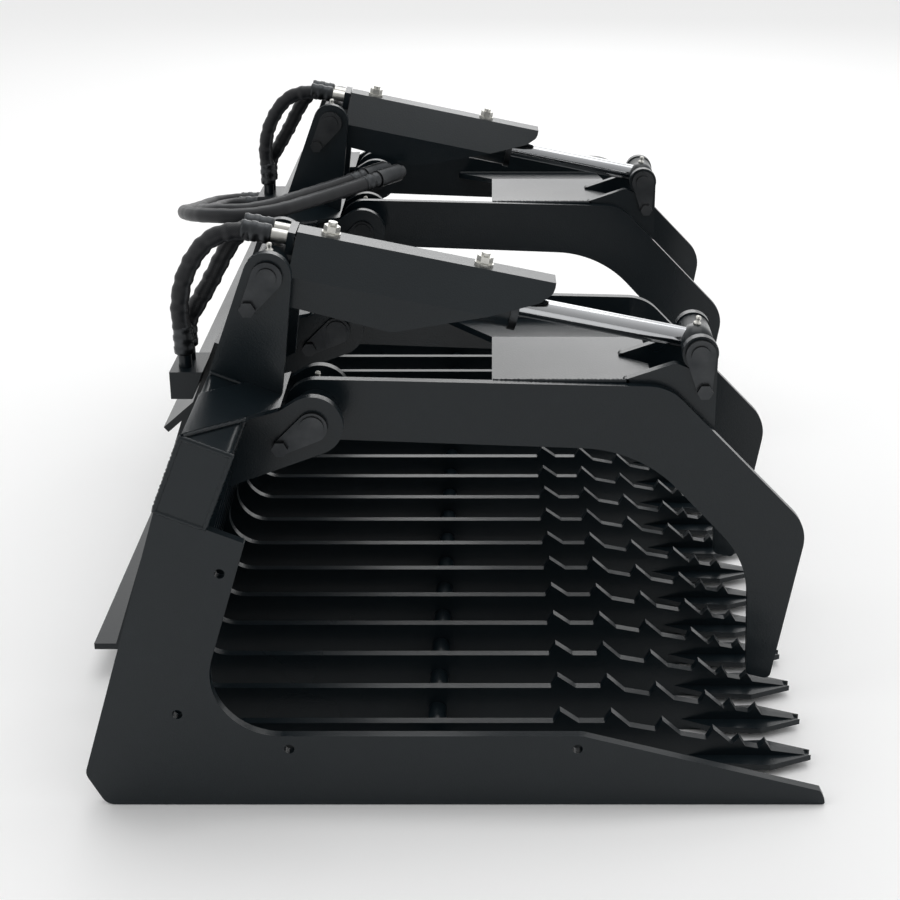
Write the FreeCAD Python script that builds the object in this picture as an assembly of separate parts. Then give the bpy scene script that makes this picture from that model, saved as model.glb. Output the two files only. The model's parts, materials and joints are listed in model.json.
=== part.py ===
import FreeCAD
import Part
import math
import os

# Rock grapple bucket. Millimetres, +Z up, +X towards the tine tips, the origin on the ground
# at the middle of the bucket's length and width. Side plates, tines and the quick-attach plate
# are one welded frame. Two grapples of the same hand hinge on the top tube, each closed by its
# own cylinder, which stands beside the grapple's right arm.

# Overall and plate sizes
bucket_width = 1828.8
plate = 12.7
tine_count = 19

# Side plate, seen from the side. x runs forward from the heel.
plate_length = 951.0
heel_rise = 46.0
heel_run = 24.0
back_lean = 17.3
side_top_height = 416.0
side_riser_depth = 120.0
side_wall_height = 102.0
side_slope_start = 636.0
side_nose_height = 20.0
side_corner_radius = 85.0
heel_corner_radius = 18.0
edge_corner_radius = 3.0
slope_corner_radius = 40.0
side_hole_radius = 6.5
side_holes = [(189, 332), (124, 134), (263, 83), (630, 83)]

# Tines
tine_height = 66.0
tine_riser_depth = 75.0
tine_corner_radius = 50.0
tine_slope_start = 672.0
tine_tip_setback = 1.0
tine_tip_height = 8.0
tine_tip_thickness = 9.0
tine_tip_bevel = 12.0
tooth_rise = 18.0
fine_tooth_rise = 12.0
tooth_lead = 9.0
tooth_run = 0.5
tooth_pitch = 68.0
fine_tooth_pitch = 35.0
coarse_teeth = 4
fine_teeth = 2
first_tooth_setback = 70.0
stiffener_length = 165.0
stiffener_width = 25.0
stiffener_thickness = 8.0
stiffener_setback = 3.0
stiffener_lift = 0.5
stiffener_shoulder_share = 0.35
stiffener_waist_share = 0.75
stiffener_waist_width_share = 0.8

# Cross rod through the tines, seated in the side plates
rod_radius = 12.7
rod_height = 31.0
rod_x = 446.0
rod_hole_clearance = 0.05
rod_seat_depth = 6.0

# Top tube, leaning forward more than the back and standing on the side plates and tines
tube_lean = 22.0
tube_depth = 101.6
tube_section = 63.5
tube_wall = 6.35
tube_corner_radius = 9.5
tube_inner_radius = 3.0
cap_thickness = 6.35

# Quick-attach plate
attach_width = 1156.0
attach_thickness = 9.5
attach_bottom = 40.0
lip_tip = -60.0
hook_length = 57.0
hook_slope = 41.0
hook_rise = 8.0
gusset_foot_depth = 19.0
gusset_head_depth = 8.0
lock_slot_length = 64.0
lock_slot_width = 32.0
lock_slot_height = 92.0
lock_slot_pitches = 5.5

# Grapples. arm_inner and arm_outer are measured from the bucket's middle.
arm_inner = 275.0
arm_outer = 664.0
hinge_x = 289.0
hinge_z = 452.0
arm_end_radius = 42.0
arm_elbow = (754.0, 483.5, 65.0)
arm_knee = (951.0, 280.0, 60.0)
arm_tip_outer = (912.0, 44.0, 8.0)
arm_tip_inner = (879.0, 52.0, 8.0)
arm_knee_inner = (872.0, 228.0, 150.0)
arm_elbow_inner = (718.0, 393.5, 185.0)
ear_offset = 60.5
hub_radius = 28.5
hinge_pin_radius = 15.9
side_clearance = 0.5
pin_clearance = 0.08

# Ears that carry the arm hinges
ear_radius = 40.0
ear_toe_height = 366.0
ear_toe_gap = 0.5
brace_thickness = 6.35
brace_length = 100.7
brace_skew = 183.0

# Towers that carry the cylinders' base pins
base_x = 235.0
base_z = 640.0
tower_radius = 31.0
tower_offset = 83.1
tower_front_foot = (247.0, 480.0)
tower_foot_along = 67.7

# Cross plate, cross tube and rod lugs on the arms
rod_pin_x = 795.0
rod_pin_z = 525.0
cross_plate_rear = 521.0
cross_plate_front = 733.0
cross_plate_top = 486.0
cross_plate_thickness = 9.5
cross_plate_flat = 184.0
cross_plate_fall = 35.0
cross_plate_flare = 67.0
notch_depth = 34.0
notch_reach = 31.0
notch_gap = 0.1
cross_tube_rear = 750.0
cross_tube_top = 417.0
cross_tube_size = 50.8
cross_tube_wall = 6.35
lug_gap = 89.6
lug_radius = 24.0
lug_shoulder = (763.0, 512.0)
lug_foot_height = 372.0
lug_foot_radius = 6.0
lug_shoulder_radius = 15.0
lug_toe_stand = 4.0
cross_tube_corner_radius = 8.0
cylinder_pin_radius = 12.7

# Cylinders
bore_radius = 25.4
barrel_radius = 31.75
piston_rod_radius = 14.3
eye_radius = 22.0
eye_overlap = 13.0
barrel_cap = 14.0
barrel_length = 318.0
gland_length = 30.0
gland_nose = 10.0
gland_radius = 34.5
piston_length = 38.0
piston_end_gap = 3.0
stroke = 203.2
eye_side_clearance = 0.3
piston_clearance = 0.1
gland_clearance = 0.05
port_plate_length = 10.0
port_plate_half = 28.0
port_plate_top = 45.0
port_lateral = 16.0
port_lift = 34.0

# Cylinder guard, a bent hood bolted to two saddles on the barrel. Stations run along the
# cylinder from its base pin and lifts stand square to it.
guard_thickness = 5.0
guard_rear = 24.5
guard_front = 369.0
guard_top = 45.0
guard_top_half = 19.0
guard_bend = -4.0
guard_half_width = 62.0
guard_skirt = -56.0
guard_skirt_rear = (259.0, 591.0)
guard_skirt_low = (390.0, 556.0)
guard_nose_low = (584.0, 589.0)
guard_nose_front = (601.0, 598.0)
guard_low_radius = 30.0
guard_nose_radius = 12.0
guard_front_radius = 8.0
guard_bolts = [67.4, 271.7]
guard_bolt_radius = 6.35
nut_radius = 11.0
nut_height = 9.0
stud_stand = 5.0
stud_clearance = 0.3
washer_thickness = 3.5
saddle_width = 30.0
saddle_length = 40.0

# Pin flags and their bolts
flag_thickness = 6.35
flag_radius = 20.0
flag_tail_radius = 10.0
flag_bolt_radius = 6.35
flag_head_radius = 10.8
pin_head_stand = 3.0
hinge_flag = (-42.0, -28.0)
base_flag = (-26.0, -41.0)
rod_flag = (7.0, -50.0)

# Hydraulic hoses, their blocks behind the top tube and the supply hoses' couplers
hose_radius = 12.0
fitting_radius = 9.0
fitting_length = 23.0
block_top = 493.0
block_bottom = 455.0
block_rear = 92.0
block_half = 40.0
block_port_x = 110.0
block_port_length = 20.0
coupler_length = 55.0
coupler_radius = 15.0
coupler_nose_radius = 10.5
coupler_nose_length = 16.5
coupler_nose_overlap = 5.5
hose_bend_share = 0.45
hose_lead = 34.0
hose_rise = 30.0

pitch = (bucket_width - plate) / (tine_count + 1)
side_y = (bucket_width - plate) / 2
lean = math.tan(math.radians(back_lean))
centre_x = (plate_length + lip_tip) / 2


def back_x(z):
    """Forward offset of the back line at a height above the ground."""
    return (z - heel_rise) * lean


def outline(corners, y=0.0):
    """Closed wire in the XZ plane. Each corner is (x, z) or (x, z, radius)."""
    points = [FreeCAD.Vector(c[0] - centre_x, y, c[1]) for c in corners]
    radii = [c[2] if len(c) > 2 else 0.0 for c in corners]
    count = len(points)
    starts = []
    ends = []
    for i in range(count):
        before = (points[i - 1] - points[i]).normalize()
        after = (points[(i + 1) % count] - points[i]).normalize()
        angle = before.getAngle(after)
        reach = radii[i] / math.tan(angle / 2) if radii[i] > 0 else 0.0
        starts.append(points[i] + before * reach)
        ends.append(points[i] + after * reach)
    edges = []
    for i in range(count):
        if radii[i] > 0:
            bisector = ((starts[i] - points[i]) + (ends[i] - points[i])).normalize()
            half = (points[i - 1] - points[i]).getAngle(points[(i + 1) % count] - points[i]) / 2
            middle = points[i] + bisector * (radii[i] / math.sin(half) - radii[i])
            edges.append(Part.Arc(starts[i], middle, ends[i]).toShape())
        following = starts[(i + 1) % count]
        if ends[i].distanceToPoint(following) > 1e-6:
            edges.append(Part.LineSegment(ends[i], following).toShape())
    return Part.Wire(edges)


def plate_at(corners, y, thickness):
    """Flat plate standing in the XZ plane, centred on y."""
    wire = outline(corners, y - thickness / 2)
    return Part.Face(wire).extrude(FreeCAD.Vector(0, thickness, 0))


def tangent_plate(circles, y, thickness):
    """Plate round a chain of circles (x, z, radius), joined by their outer tangents."""
    shape = None
    for first, second in zip(circles, circles[1:]):
        dx = second[0] - first[0]
        dz = second[1] - first[1]
        distance = math.hypot(dx, dz)
        heading = math.atan2(dz, dx)
        spread = math.acos((first[2] - second[2]) / distance)
        corners = []
        for circle, side in ((first, 1), (second, 1), (second, -1), (first, -1)):
            angle = heading + side * spread
            corners.append((circle[0] + circle[2] * math.cos(angle), circle[1] + circle[2] * math.sin(angle)))
        piece = plate_at(corners, y, thickness)
        shape = piece if shape is None else shape.fuse(piece)
        for circle in (first, second):
            shape = shape.fuse(round_bar(circle[0], circle[1], y - thickness / 2, thickness, circle[2]))
    return shape.removeSplitter()


def round_bar(x, z, y_start, length, radius):
    """Round bar along Y."""
    start = FreeCAD.Vector(x - centre_x, y_start, z)
    return Part.makeCylinder(radius, length, start, FreeCAD.Vector(0, 1, 0))


def mirrored(shape):
    return shape.mirror(FreeCAD.Vector(0, 0, 0), FreeCAD.Vector(0, 1, 0))


def save(name, *shapes):
    solids = []
    for shape in shapes:
        solids.extend(shape.Solids)
    whole = solids[0] if len(solids) == 1 else Part.makeCompound(solids)
    whole.exportStep("parts/" + name + ".step")
    print(name, len(solids), round(whole.Volume / 1000.0, 1), "cm3")


# Tube frame: up runs along the tube's tall faces, out runs forward and down across its top
up = (math.sin(math.radians(tube_lean)), math.cos(math.radians(tube_lean)))
out = (up[1], -up[0])
tube_rear_foot = (back_x(side_top_height), side_top_height)
underside_fall = math.tan(math.radians(tube_lean))


def under_tube(depth):
    """Front corner of a riser of this depth, cut off by the tube's underside line."""
    run = depth / (1 + underside_fall * lean)
    return (tube_rear_foot[0] + run, tube_rear_foot[1] - run * underside_fall)


def on_tube(along_out, along_up):
    """Point in the tube's own section, from its lower rear corner."""
    return (
        tube_rear_foot[0] + out[0] * along_out + up[0] * along_up,
        tube_rear_foot[1] + out[1] * along_out + up[1] * along_up,
    )


tube_top_rear = on_tube(0, tube_depth)
tube_top_front = on_tube(tube_section, tube_depth)
tube_foot_front = on_tube(tube_section, 0)


def side_plate():
    riser_foot = (back_x(side_wall_height) + side_riser_depth, side_wall_height)
    corners = [
        (0, heel_rise, heel_corner_radius),
        (heel_run, 0, heel_corner_radius),
        (plate_length, 0, edge_corner_radius),
        (plate_length - 2, side_nose_height / 2, edge_corner_radius),
        (plate_length - 7, side_nose_height, edge_corner_radius),
        (side_slope_start, side_wall_height, slope_corner_radius),
        (riser_foot[0], riser_foot[1], side_corner_radius),
        under_tube(side_riser_depth) + (edge_corner_radius,),
        tube_rear_foot + (edge_corner_radius,),
    ]
    shape = plate_at(corners, -side_y, plate)
    for x, z in side_holes:
        shape = shape.cut(round_bar(x, z, -side_y - plate, 2 * plate, side_hole_radius))
    seat = -side_y + plate / 2 - rod_seat_depth
    pocket = round_bar(rod_x, rod_height, seat, plate, rod_radius + rod_hole_clearance)
    return shape.cut(pocket)


def tine_outline():
    """J-shaped tine with a saw-toothed front edge."""
    tip = plate_length - tine_tip_setback
    riser_foot = (back_x(tine_height) + tine_riser_depth, tine_height)
    slope_length = tip - tine_slope_start
    fall = (tine_height - tine_tip_height - tine_tip_thickness / 2) / slope_length

    def slope_height(x):
        return tine_height - fall * max(0.0, x - tine_slope_start)

    corners = [
        (0, heel_rise, heel_corner_radius),
        (heel_run, 0, heel_corner_radius),
        (tip - tooth_pitch, 0, slope_corner_radius),
        (tip, tine_tip_height, edge_corner_radius),
        (tip - tine_tip_bevel, tine_tip_height + tine_tip_thickness, edge_corner_radius),
    ]
    starts = [tine_slope_start - first_tooth_setback + i * tooth_pitch for i in range(coarse_teeth)]
    teeth = [(start, tooth_pitch, tooth_rise) for start in starts]
    fine_start = starts[-1] + fine_tooth_pitch
    for i in range(fine_teeth):
        teeth.append((fine_start + i * fine_tooth_pitch, fine_tooth_pitch, fine_tooth_rise))
    for start, spacing, rise in reversed(teeth):
        peak = start + tooth_lead
        foot = start + spacing * tooth_run
        corners.append((foot, slope_height(foot)))
        corners.append((peak, slope_height(peak) + rise))
        corners.append((start, slope_height(start)))
    corners.append(riser_foot + (tine_corner_radius,))
    corners.append(under_tube(tine_riser_depth))
    corners.append(tube_rear_foot)
    return corners


def tine(y):
    shape = plate_at(tine_outline(), y, plate)
    return shape.cut(round_bar(rod_x, rod_height, y - plate, 2 * plate, rod_radius + rod_hole_clearance))


def stiffener(y):
    """Leaf-shaped plates welded on both sides of a tine's tip, which make it a cross in section."""
    tip = plate_length - tine_tip_setback - stiffener_setback
    pieces = []
    for side in (-1, 1):
        root = y + side * plate / 2
        points = [
            (tip, root),
            (tip - stiffener_length * stiffener_shoulder_share, root + side * stiffener_width),
            (tip - stiffener_length * stiffener_waist_share,
             root + side * stiffener_width * stiffener_waist_width_share),
            (tip - stiffener_length, root),
        ]
        vectors = [FreeCAD.Vector(px - centre_x, py, tine_tip_height + stiffener_lift) for px, py in points]
        face = Part.Face(Part.makePolygon(vectors + [vectors[0]]))
        pieces.append(face.extrude(FreeCAD.Vector(0, 0, stiffener_thickness)))
    return pieces


def box_section(corners, wall_corners, y_start, length):
    outer = plate_at(corners, y_start + length / 2, length)
    inner = plate_at(wall_corners, y_start + length / 2, length * 1.01)
    return outer.cut(inner)


def tube_corners(inset, radius):
    """Corners of the tube's section, drawn in by inset."""
    places = [(inset, inset), (inset, tube_depth - inset), (tube_section - inset, tube_depth - inset),
              (tube_section - inset, inset)]
    return [on_tube(along_out, along_up) + (radius,) for along_out, along_up in places]


def top_tube():
    length = bucket_width - 2 * cap_thickness
    outer = tube_corners(0, tube_corner_radius)
    return box_section(outer, tube_corners(tube_wall, tube_inner_radius), -length / 2, length)


def tube_cap(side):
    place = side * (bucket_width - cap_thickness) / 2
    return plate_at(tube_corners(0, tube_corner_radius), place, cap_thickness)


def crossing(point, direction, other, other_direction):
    """Point where two lines in the side view cross."""
    dx = other[0] - point[0]
    dz = other[1] - point[1]
    scale = direction[0] * other_direction[1] - direction[1] * other_direction[0]
    share = (dx * other_direction[1] - dz * other_direction[0]) / scale
    return (point[0] + share * direction[0], point[1] + share * direction[1])


back_direction = (lean, 1.0)
rear_gap = attach_thickness / math.cos(math.radians(tube_lean))
back_gap = attach_thickness / math.cos(math.radians(back_lean))
rear_foot = (back_x(attach_bottom + attach_thickness) - back_gap, attach_bottom + attach_thickness)
rear_bend = crossing(rear_foot, back_direction, on_tube(-attach_thickness, 0), up)


def attach_profile():
    """Bent plate: rearward lip, back face, and the upper part laid along the tube."""
    return [
        (lip_tip, attach_bottom),
        (back_x(attach_bottom), attach_bottom, attach_thickness + edge_corner_radius),
        tube_rear_foot,
        tube_top_rear,
        on_tube(-attach_thickness, tube_depth),
        rear_bend,
        rear_foot + (edge_corner_radius,),
        (lip_tip, attach_bottom + attach_thickness),
    ]


def attach_plate():
    width = attach_width - 2 * attach_thickness
    shape = plate_at(attach_profile(), 0, width)
    for side in (-1, 1):
        y = side * lock_slot_pitches * pitch
        x = back_x(lock_slot_height) - centre_x
        slot = Part.makeBox(4 * attach_thickness, lock_slot_length, lock_slot_width)
        slot.translate(FreeCAD.Vector(x - 2 * attach_thickness, y - lock_slot_length / 2,
                                      lock_slot_height - lock_slot_width / 2))
        shape = shape.cut(slot)
    return shape


hook_start = on_tube(-attach_thickness, hook_rise)
hook_along = (-math.cos(math.radians(hook_slope)), -math.sin(math.radians(hook_slope)))
hook_tip = (hook_start[0] + hook_along[0] * hook_length, hook_start[1] + hook_along[1] * hook_length)
hook_under = (hook_tip[0] - hook_along[1] * attach_thickness, hook_tip[1] + hook_along[0] * attach_thickness)
hook_root = crossing(hook_under, hook_along, rear_foot, back_direction)


def hook_flange():
    """Flange that the carrier's top edge hooks under, sloping down to the rear."""
    corners = [hook_start, hook_tip, hook_under, hook_root, rear_bend]
    return plate_at(corners, 0, attach_width - 2 * attach_thickness)


def end_gusset(side):
    """End plate of the quick attach, closing the plate, its lip and the hook flange."""
    foot = (rear_foot[0] - gusset_foot_depth, rear_foot[1])
    edge = (hook_root[0] - gusset_head_depth - foot[0], hook_root[1] - foot[1])
    head = crossing(foot, edge, hook_under, hook_along)
    corners = [
        (lip_tip, attach_bottom),
        (back_x(attach_bottom), attach_bottom, attach_thickness + edge_corner_radius),
        tube_rear_foot,
        tube_top_rear,
        on_tube(-attach_thickness, tube_depth),
        hook_start,
        hook_tip,
        hook_under,
        head,
        foot,
        (lip_tip, rear_foot[1]),
    ]
    return plate_at(corners, side * (attach_width - attach_thickness) / 2, attach_thickness)


hub_length = 2 * (ear_offset - plate / 2 - side_clearance)


def circle_tangent(point, centre, radius, side):
    """Point where the line from a point touches a circle, on its upper (1) or lower (-1) side."""
    dx = point[0] - centre[0]
    dz = point[1] - centre[1]
    distance = math.hypot(dx, dz)
    angle = math.atan2(dz, dx) - side * math.acos(radius / distance)
    return (centre[0] + radius * math.cos(angle), centre[1] + radius * math.sin(angle))


def hinge_ear(y):
    """Ear on the front of the top tube that carries the arm's hinge pin."""
    centre = (hinge_x, hinge_z)
    head = on_tube(brace_length, tube_depth)
    toe = (back_x(ear_toe_height) + tine_riser_depth + ear_toe_gap, ear_toe_height)
    upper = circle_tangent(head, centre, ear_radius, 1)
    lower = circle_tangent(toe, centre, ear_radius, -1)
    seat = under_tube(tine_riser_depth)
    corners = [tube_top_front, head, upper, centre, lower, toe, seat, on_tube(tube_section, 0)]
    body = plate_at(corners, y, plate)
    body = body.fuse(round_bar(hinge_x, hinge_z, y - plate / 2, plate, ear_radius)).removeSplitter()
    return body.cut(round_bar(hinge_x, hinge_z, y - plate, 2 * plate, hinge_pin_radius + pin_clearance))


def ear_brace(y, posts):
    """Skewed brace flat on the tube's top, from its rear edge to a pair of ears, cut round the towers."""
    reach = ear_offset + plate / 2
    places = [(0, y - reach - brace_skew), (brace_length, y - reach), (brace_length, y + reach),
              (0, y + reach - brace_skew)]
    vectors = []
    for along, place in places:
        x, z = on_tube(along, tube_depth)
        vectors.append(FreeCAD.Vector(x - centre_x, place, z))
    face = Part.Face(Part.makePolygon(vectors + [vectors[0]]))
    shape = face.extrude(FreeCAD.Vector(up[0], 0, up[1]) * brace_thickness)
    for post in posts:
        shape = shape.cut(post)
    return shape


def tower(y):
    """Post that saddles the top tube and carries the cylinder's base pin."""
    centre = (base_x, base_z)
    rear = circle_tangent(tube_top_rear, centre, tower_radius, 1)
    front = circle_tangent(tower_front_foot, centre, tower_radius, -1)
    foot = on_tube(tube_section, tower_foot_along)
    body = plate_at([tube_top_rear, rear, centre, front, tower_front_foot, foot, tube_top_front], y, plate)
    body = body.fuse(round_bar(base_x, base_z, y - plate / 2, plate, tower_radius)).removeSplitter()
    return body.cut(round_bar(base_x, base_z, y - plate, 2 * plate, cylinder_pin_radius + pin_clearance))


def pin_flag(x, z, tail, y_face, side, pin_radius):
    """Teardrop retainer welded to a pin's head, lying on the plate's outer face."""
    y = y_face + side * flag_thickness / 2
    circles = [(x, z, flag_radius), (x + tail[0], z + tail[1], flag_tail_radius)]
    shape = tangent_plate(circles, y, flag_thickness)
    shape = shape.cut(round_bar(x, z, y - flag_thickness, 2 * flag_thickness, pin_radius))
    hole = round_bar(x + tail[0], z + tail[1], y - flag_thickness, 2 * flag_thickness, flag_bolt_radius)
    return shape.cut(hole)


def flag_bolt(x, z, tail, y_face, side):
    """Cap screw through the flag's tail, its head on the flag."""
    y_flag = y_face + side * flag_thickness
    head = hexagon(x + tail[0], z + tail[1], y_flag, side * flag_bolt_radius, flag_head_radius)
    shank_start = min(y_flag, y_face)
    shank = round_bar(x + tail[0], z + tail[1], shank_start, flag_thickness, flag_bolt_radius)
    return head.fuse(shank).removeSplitter()


def hexagon(x, z, y, length, radius):
    points = []
    for i in range(6):
        angle = math.radians(60 * i)
        place = (x - centre_x + radius * math.cos(angle), y, z + radius * math.sin(angle))
        points.append(FreeCAD.Vector(*place))
    face = Part.Face(Part.makePolygon(points + [points[0]]))
    return face.extrude(FreeCAD.Vector(0, length, 0))


def flagged_pin(x, z, first, last, radius, tail):
    """Pin along Y between two outer faces, its teardrop flag on the first, right-hand one."""
    start = first - flag_thickness - pin_head_stand
    bar = round_bar(x, z, start, last + pin_head_stand - start, radius)
    return bar.fuse(pin_flag(x, z, tail, first, -1, radius)).removeSplitter()


def arm_plate(y):
    """Arm's side plate: a round end at the hinge, bent down at the elbow and the knee."""
    centre = (hinge_x, hinge_z)
    upper = circle_tangent(arm_elbow, centre, arm_end_radius, -1)
    lower = circle_tangent(arm_elbow_inner, centre, arm_end_radius, 1)
    corners = [upper, arm_elbow, arm_knee, arm_tip_outer]
    corners += [arm_tip_inner, arm_knee_inner, arm_elbow_inner, lower]
    shape = plate_at(corners, y, plate)
    shape = shape.fuse(round_bar(hinge_x, hinge_z, y - plate / 2, plate, arm_end_radius)).removeSplitter()
    return shape.cut(round_bar(hinge_x, hinge_z, y - plate, 2 * plate, hub_radius))


def hub(y):
    outer = round_bar(hinge_x, hinge_z, y - hub_length / 2, hub_length, hub_radius)
    hole_radius = hinge_pin_radius + pin_clearance
    return outer.cut(round_bar(hinge_x, hinge_z, y - hub_length, 2 * hub_length, hole_radius))


def standing_prism(points, base, height):
    """Prism that stands on a plan outline of (x, y) points."""
    vectors = [FreeCAD.Vector(px - centre_x, py, base) for px, py in points]
    face = Part.Face(Part.makePolygon(vectors + [vectors[0]]))
    return face.extrude(FreeCAD.Vector(0, 0, height))


lug_plane = lug_gap / 2 + plate / 2


def cross_plate(right_y, left_y):
    """Plate between the arms' inner faces. Its flat part carries the two rod lugs in notches, and the
    rest bends down to the left arm, flaring rearwards along it."""
    apex = cross_plate_front - notch_depth
    first = right_y + plate
    second = first + lug_gap
    bend = right_y + cross_plate_flat
    points = [
        (cross_plate_rear, right_y), (apex, right_y), (apex, first + notch_gap),
        (cross_plate_front, first + notch_reach), (cross_plate_front, second - notch_reach),
        (apex, second - notch_gap), (apex, second + plate + notch_gap),
        (cross_plate_front, second + plate + notch_reach),
        (cross_plate_front, bend), (cross_plate_rear, bend),
    ]
    base = cross_plate_top - cross_plate_thickness
    flat = standing_prism(points, base, cross_plate_thickness)
    flare_rear = cross_plate_rear - cross_plate_flare
    section = [(bend, cross_plate_top), (left_y, cross_plate_top - cross_plate_fall),
               (left_y, base - cross_plate_fall), (bend, base)]
    vectors = [FreeCAD.Vector(flare_rear - centre_x, py, pz) for py, pz in section]
    face = Part.Face(Part.makePolygon(vectors + [vectors[0]]))
    slope = face.extrude(FreeCAD.Vector(cross_plate_front - flare_rear, 0, 0))
    plan = [(cross_plate_rear, bend), (flare_rear, left_y), (cross_plate_front, left_y),
            (cross_plate_front, bend)]
    window = standing_prism(plan, base - cross_plate_fall, cross_plate_fall + cross_plate_thickness)
    return flat.fuse(slope.common(window)).removeSplitter()


def cross_tube(right_y, left_y):
    a = cross_tube_rear
    b = cross_tube_rear + cross_tube_size
    top = cross_tube_top
    foot = top - cross_tube_size
    w = cross_tube_wall
    outer = [place + (cross_tube_corner_radius,) for place in ((a, foot), (a, top), (b, top), (b, foot))]
    inner = [(a + w, foot + w), (a + w, top - w), (b - w, top - w), (b - w, foot + w)]
    return box_section(outer, inner, right_y, left_y - right_y)


def rod_lug(y):
    """Lug from the cross plate's notch over the cross tube, with the rod pin's hole."""
    toe = cross_plate_front - notch_depth + notch_gap
    tube_front = cross_tube_rear + cross_tube_size
    front = rod_pin_x + lug_radius - 1
    centre = (rod_pin_x, rod_pin_z)
    corners = [
        (toe, cross_plate_top - cross_plate_thickness),
        (toe, cross_plate_top + lug_toe_stand),
        lug_shoulder + (lug_shoulder_radius,),
        circle_tangent(lug_shoulder, centre, lug_radius, -1),
        centre,
        (front, rod_pin_z),
        (front, lug_foot_height, lug_foot_radius),
        (tube_front, lug_foot_height),
        (tube_front, cross_tube_top),
        (cross_tube_rear, cross_tube_top),
    ]
    shape = plate_at(corners, y, plate)
    shape = shape.fuse(round_bar(rod_pin_x, rod_pin_z, y - plate / 2, plate, lug_radius)).removeSplitter()
    hole_radius = cylinder_pin_radius + pin_clearance
    return shape.cut(round_bar(rod_pin_x, rod_pin_z, y - plate, 2 * plate, hole_radius))


def rod_pin_stub(middle, side):
    inner = middle + side * (lug_plane - plate / 2)
    outer = middle + side * (lug_plane + plate / 2 + flag_thickness + pin_head_stand)
    return round_bar(rod_pin_x, rod_pin_z, min(inner, outer), abs(outer - inner), cylinder_pin_radius)


closed_length = math.hypot(rod_pin_x - base_x, rod_pin_z - base_z)
cylinder_angle = math.degrees(math.atan2(rod_pin_z - base_z, rod_pin_x - base_x))


def along_cylinder(shape, y):
    """Places a shape that was made along +X from the base pin."""
    shape.rotate(FreeCAD.Vector(0, 0, 0), FreeCAD.Vector(0, 1, 0), -cylinder_angle)
    shape.translate(FreeCAD.Vector(base_x - centre_x, y, base_z))
    return shape


def axial(start, length, radius):
    return Part.makeCylinder(radius, length, FreeCAD.Vector(start, 0, 0), FreeCAD.Vector(1, 0, 0))


def cross_eye(radius, length, station):
    start = FreeCAD.Vector(station, -length / 2, 0)
    return Part.makeCylinder(radius, length, start, FreeCAD.Vector(0, 1, 0))


def barrel(y):
    """Tube closed at its base by a cap with a cross eye, open at the gland, with the guard's saddles."""
    eye_length = 2 * (tower_offset - plate / 2 - side_clearance)
    body = axial(eye_overlap, barrel_length - eye_overlap, barrel_radius)
    body = body.fuse(cross_eye(eye_radius, eye_length, 0))
    plate_size = (port_plate_length, 2 * port_plate_half, port_plate_top)
    body = body.fuse(Part.makeBox(*plate_size, FreeCAD.Vector(eye_overlap, -port_plate_half, 0)))
    saddle_size = (saddle_length, saddle_width, guard_top - guard_thickness)
    for station in guard_bolts:
        corner = FreeCAD.Vector(station - saddle_length / 2, -saddle_width / 2, 0)
        body = body.fuse(Part.makeBox(*saddle_size, corner))
    body = body.removeSplitter()
    body = body.cut(axial(eye_radius + barrel_cap, barrel_length, bore_radius))
    body = body.cut(cross_eye(cylinder_pin_radius + pin_clearance, eye_length * 2, 0))
    return along_cylinder(body, y)


def gland(y):
    nose = axial(barrel_length, gland_nose, gland_radius)
    plug = axial(barrel_length - gland_length, gland_length, bore_radius - gland_clearance)
    shape = nose.fuse(plug).removeSplitter()
    shape = shape.cut(axial(0, 2 * barrel_length, piston_rod_radius + pin_clearance))
    return along_cylinder(shape, y)


piston_rear = barrel_length - gland_length - piston_length - piston_end_gap


def piston_rod(y):
    """Rod with its piston, and a wide cross eye that fills the space between the rod lugs."""
    eye_length = lug_gap - 2 * eye_side_clearance
    body = axial(piston_rear, closed_length - piston_rear - eye_overlap, piston_rod_radius)
    body = body.fuse(axial(piston_rear, piston_length, bore_radius - piston_clearance))
    body = body.fuse(cross_eye(eye_radius, eye_length, closed_length)).removeSplitter()
    body = body.cut(cross_eye(cylinder_pin_radius + pin_clearance, eye_length * 2, closed_length))
    return along_cylinder(body, y)


def hood_prism(inset, start, end):
    """Solid under the hood's bent sheet, from one station to another, shrunk by inset."""
    shrink = inset * math.tan(math.radians(22.5))
    points = [
        (guard_top_half - shrink, guard_top - inset),
        (guard_half_width - inset, guard_bend - shrink),
        (guard_half_width - inset, guard_skirt - inset),
    ]
    left = [FreeCAD.Vector(start, -py, pz) for py, pz in points]
    right = [FreeCAD.Vector(start, py, pz) for py, pz in reversed(points)]
    vectors = left + right
    face = Part.Face(Part.makePolygon(vectors + [vectors[0]]))
    return face.extrude(FreeCAD.Vector(end - start, 0, 0))


def guard(y):
    """Bent hood: flat top, sloped sides and upright skirts whose lower edge dips, then rises."""
    hood = hood_prism(0, guard_rear, guard_front)
    hood = hood.cut(hood_prism(guard_thickness, guard_rear - 1, guard_front + 1))
    for station in guard_bolts:
        hole = Part.makeCylinder(guard_bolt_radius, guard_top + 1, FreeCAD.Vector(station, 0, 1))
        hood = hood.cut(hole)
    hood = along_cylinder(hood, y)
    rear_top = cylinder_point(guard_rear - 1, guard_top + 20)
    front_top = cylinder_point(guard_front + 1, guard_top + 20)
    rear_bend_point = cylinder_point(guard_rear - 1, guard_bend)
    trim = [rear_top, rear_bend_point, guard_skirt_rear, guard_skirt_low + (guard_low_radius,),
            guard_nose_low + (guard_nose_radius,), guard_nose_front + (guard_front_radius,),
            cylinder_point(guard_front + 1, guard_top - 2), front_top]
    return hood.common(plate_at(trim, y, 4 * guard_half_width))


def upright(station, start, height, radius):
    return Part.makeCylinder(radius, height, FreeCAD.Vector(station, 0, start))


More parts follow.
